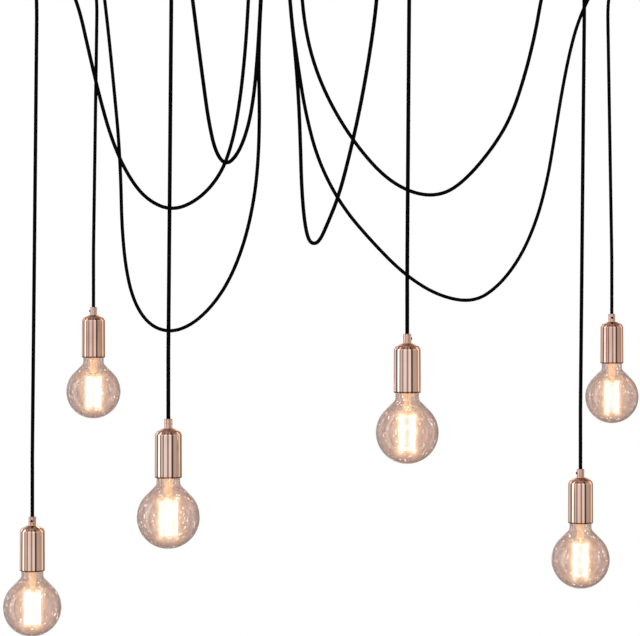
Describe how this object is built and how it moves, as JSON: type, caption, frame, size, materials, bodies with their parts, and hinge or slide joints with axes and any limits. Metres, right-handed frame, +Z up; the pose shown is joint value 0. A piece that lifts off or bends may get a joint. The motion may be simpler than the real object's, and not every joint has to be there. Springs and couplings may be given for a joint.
{
  "type": "multi-light pendant light",
  "caption": "Ceiling pendant light with one round canopy, textile cords that swag to separate ceiling hooks, copper cup lampholder covers and tinted globe bulbs.",
  "frame": {"origin": "middle of the canopy in the plane of the ceiling", "axes": "+Z up, into the ceiling; +X to the right as seen from the front; the front faces -Y"},
  "size_m": [1.0891, 0.689, 1.2062],
  "materials": {
    "canopy_copper": "polished copper",
    "cover_copper": "polished copper",
    "grip_copper": "satin copper",
    "hook_metal": "blackened",
    "zinc_steel": "zinc plated",
    "dark_screw": "black oxide",
    "block_plastic": "matte",
    "textile_cord": "braided",
    "holder_plastic": "matte",
    "cap_brass": "nickel free brass",
    "tinted_glass": "clear tint",
    "light_stick": "lit"
  },
  "bodies": {
    "ceiling": {"canopy_cover": "canopy_copper", "ceiling_bracket": "zinc_steel", "canopy_screws": "dark_screw", "canopy_grips": "grip_copper", "canopy_grip_nuts": "zinc_steel", "terminal_block": "block_plastic", "ceiling_hooks": "hook_metal", "hook_collars": "hook_metal", "swag_cord_1": "textile_cord", "swag_cord_2": "textile_cord", "swag_cord_3": "textile_cord", "swag_cord_4": "textile_cord", "swag_cord_5": "textile_cord", "swag_cord_6": "textile_cord"},
    "pendant_1": {"drop_cord_1": "textile_cord", "lampholder_1": "holder_plastic"},
    "raised_cover_1": {"cord_grip_1": "grip_copper", "cover_1": "cover_copper"},
    "bulb_1": {"bulb_cap_1": "cap_brass", "bulb_glass_1": "tinted_glass", "bulb_filament_1": "light_stick"},
    "pendant_2": {"drop_cord_2": "textile_cord", "lampholder_2": "holder_plastic"},
    "raised_cover_2": {"cord_grip_2": "grip_copper", "cover_2": "cover_copper"},
    "bulb_2": {"bulb_cap_2": "cap_brass", "bulb_glass_2": "tinted_glass", "bulb_filament_2": "light_stick"},
    "pendant_3": {"drop_cord_3": "textile_cord", "lampholder_3": "holder_plastic"},
    "raised_cover_3": {"cord_grip_3": "grip_copper", "cover_3": "cover_copper"},
    "bulb_3": {"bulb_cap_3": "cap_brass", "bulb_glass_3": "tinted_glass", "bulb_filament_3": "light_stick"},
    "pendant_4": {"drop_cord_4": "textile_cord", "lampholder_4": "holder_plastic"},
    "raised_cover_4": {"cord_grip_4": "grip_copper", "cover_4": "cover_copper"},
    "bulb_4": {"bulb_cap_4": "cap_brass", "bulb_glass_4": "tinted_glass", "bulb_filament_4": "light_stick"},
    "pendant_5": {"drop_cord_5": "textile_cord", "lampholder_5": "holder_plastic"},
    "raised_cover_5": {"cord_grip_5": "grip_copper", "cover_5": "cover_copper"},
    "bulb_5": {"bulb_cap_5": "cap_brass", "bulb_glass_5": "tinted_glass", "bulb_filament_5": "light_stick"},
    "pendant_6": {"drop_cord_6": "textile_cord", "lampholder_6": "holder_plastic"},
    "raised_cover_6": {"cord_grip_6": "grip_copper", "cover_6": "cover_copper"},
    "bulb_6": {"bulb_cap_6": "cap_brass", "bulb_glass_6": "tinted_glass", "bulb_filament_6": "light_stick"}
  },
  "joints": [
    {"name": "swing_1", "type": "hinge", "parent": "ceiling", "child": "pendant_1", "pos_m": [-0.3971, -0.029, -0.0513], "axis": [-0.9967, -0.0814, 0], "range_deg": [-10, 10]},
    {"name": "cover_slide_1", "type": "slide", "parent": "pendant_1", "child": "raised_cover_1", "axis": [0, 0, 1], "range_m": [0, 0.08]},
    {"name": "bulb_out_1", "type": "slide", "parent": "pendant_1", "child": "bulb_1", "axis": [0, 0, -1], "range_m": [0, 0.032]},
    {"name": "swing_2", "type": "hinge", "parent": "ceiling", "child": "pendant_2", "pos_m": [-0.3245, 0.225, -0.0513], "axis": [-0.8493, 0.5279, 0], "range_deg": [-10, 10]},
    {"name": "cover_slide_2", "type": "slide", "parent": "pendant_2", "child": "raised_cover_2", "axis": [0, 0, 1], "range_m": [0, 0.08]},
    {"name": "bulb_out_2", "type": "slide", "parent": "pendant_2", "child": "bulb_2", "axis": [0, 0, -1], "range_m": [0, 0.032]},
    {"name": "swing_3", "type": "hinge", "parent": "ceiling", "child": "pendant_3", "pos_m": [-0.1547, -0.3, -0.0513], "axis": [-0.4523, -0.8919, 0], "range_deg": [-10, 10]},
    {"name": "cover_slide_3", "type": "slide", "parent": "pendant_3", "child": "raised_cover_3", "axis": [0, 0, 1], "range_m": [0, 0.08]},
    {"name": "bulb_out_3", "type": "slide", "parent": "pendant_3", "child": "bulb_3", "axis": [0, 0, -1], "range_m": [0, 0.032]},
    {"name": "swing_4", "type": "hinge", "parent": "ceiling", "child": "pendant_4", "pos_m": [0.2055, -0.3, -0.0513], "axis": [0.5734, -0.8193, 0], "range_deg": [-10, 10]},
    {"name": "cover_slide_4", "type": "slide", "parent": "pendant_4", "child": "raised_cover_4", "axis": [0, 0, 1], "range_m": [0, 0.08]},
    {"name": "bulb_out_4", "type": "slide", "parent": "pendant_4", "child": "bulb_4", "axis": [0, 0, -1], "range_m": [0, 0.032]},
    {"name": "swing_5", "type": "hinge", "parent": "ceiling", "child": "pendant_5", "pos_m": [0.5006, -0.029, -0.0513], "axis": [0.998, -0.0631, 0], "range_deg": [-10, 10]},
    {"name": "cover_slide_5", "type": "slide", "parent": "pendant_5", "child": "raised_cover_5", "axis": [0, 0, 1], "range_m": [0, 0.08]},
    {"name": "bulb_out_5", "type": "slide", "parent": "pendant_5", "child": "bulb_5", "axis": [0, 0, -1], "range_m": [0, 0.032]},
    {"name": "swing_6", "type": "hinge", "parent": "ceiling", "child": "pendant_6", "pos_m": [0.597, 0.294, -0.0513], "axis": [0.9129, 0.4083, 0], "range_deg": [-10, 10]},
    {"name": "cover_slide_6", "type": "slide", "parent": "pendant_6", "child": "raised_cover_6", "axis": [0, 0, 1], "range_m": [0, 0.08]},
    {"name": "bulb_out_6", "type": "slide", "parent": "pendant_6", "child": "bulb_6", "axis": [0, 0, -1], "range_m": [0, 0.032]}
  ]
}
